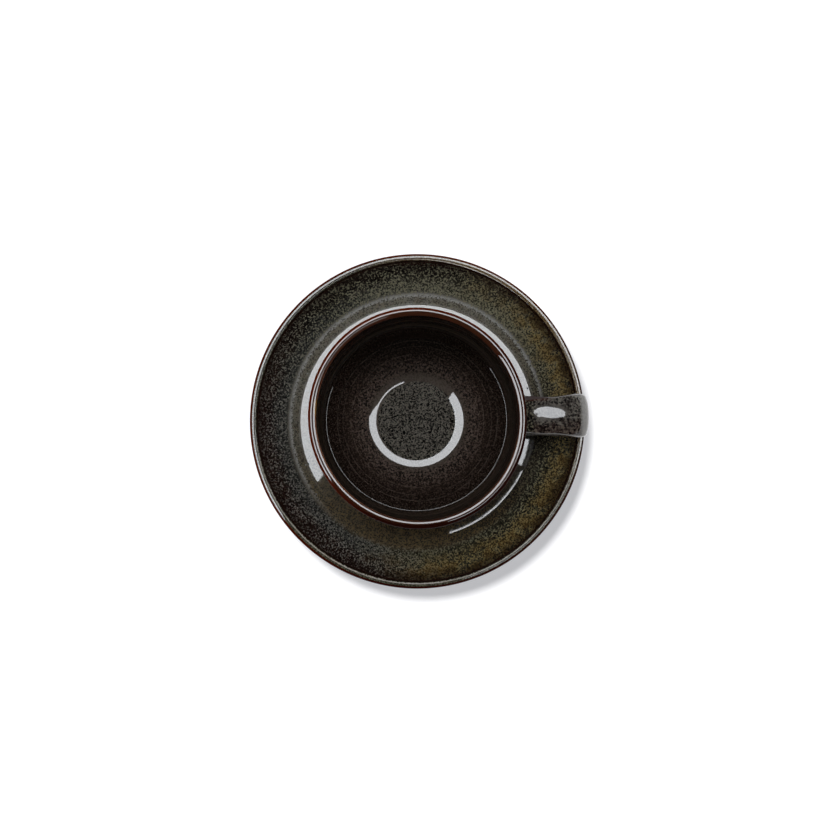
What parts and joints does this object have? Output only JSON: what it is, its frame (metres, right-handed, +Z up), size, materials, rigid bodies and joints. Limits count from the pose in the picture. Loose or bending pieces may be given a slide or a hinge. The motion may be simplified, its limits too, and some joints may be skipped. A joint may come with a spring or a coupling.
{
  "type": "cappuccino cup with saucer",
  "caption": "Straight-sided stoneware cappuccino cup with a crowned strap handle, standing in the shallow seat of its wide saucer with a raised lip, in a dark reactive glaze.",
  "frame": {"origin": "centre of the saucer's foot ring, on the surface that the saucer stands on", "axes": "+Z up along the axis of the cup and the saucer, +X towards the handle"},
  "size_m": [0.15, 0.15, 0.0695],
  "materials": {
    "saucer_glaze": "dark olive and brown reactive glaze, speckled, satin gloss, red-brown where it breaks over the lip",
    "cup_glaze": "near-black brown reactive glaze, glossy, red-brown where it breaks over the rim",
    "handle_glaze": "mottled grey-brown reactive glaze, glossy, red-brown along the edges"
  },
  "bodies": {
    "saucer": {"saucer": "saucer_glaze"},
    "cup": {"cup_body": "cup_glaze", "cup_handle": "handle_glaze"}
  },
  "joints": [
    {"name": "cup_lift", "type": "slide", "parent": "saucer", "child": "cup", "axis": [0, 0, 1], "range_m": [0, 0.1]}
  ]
}
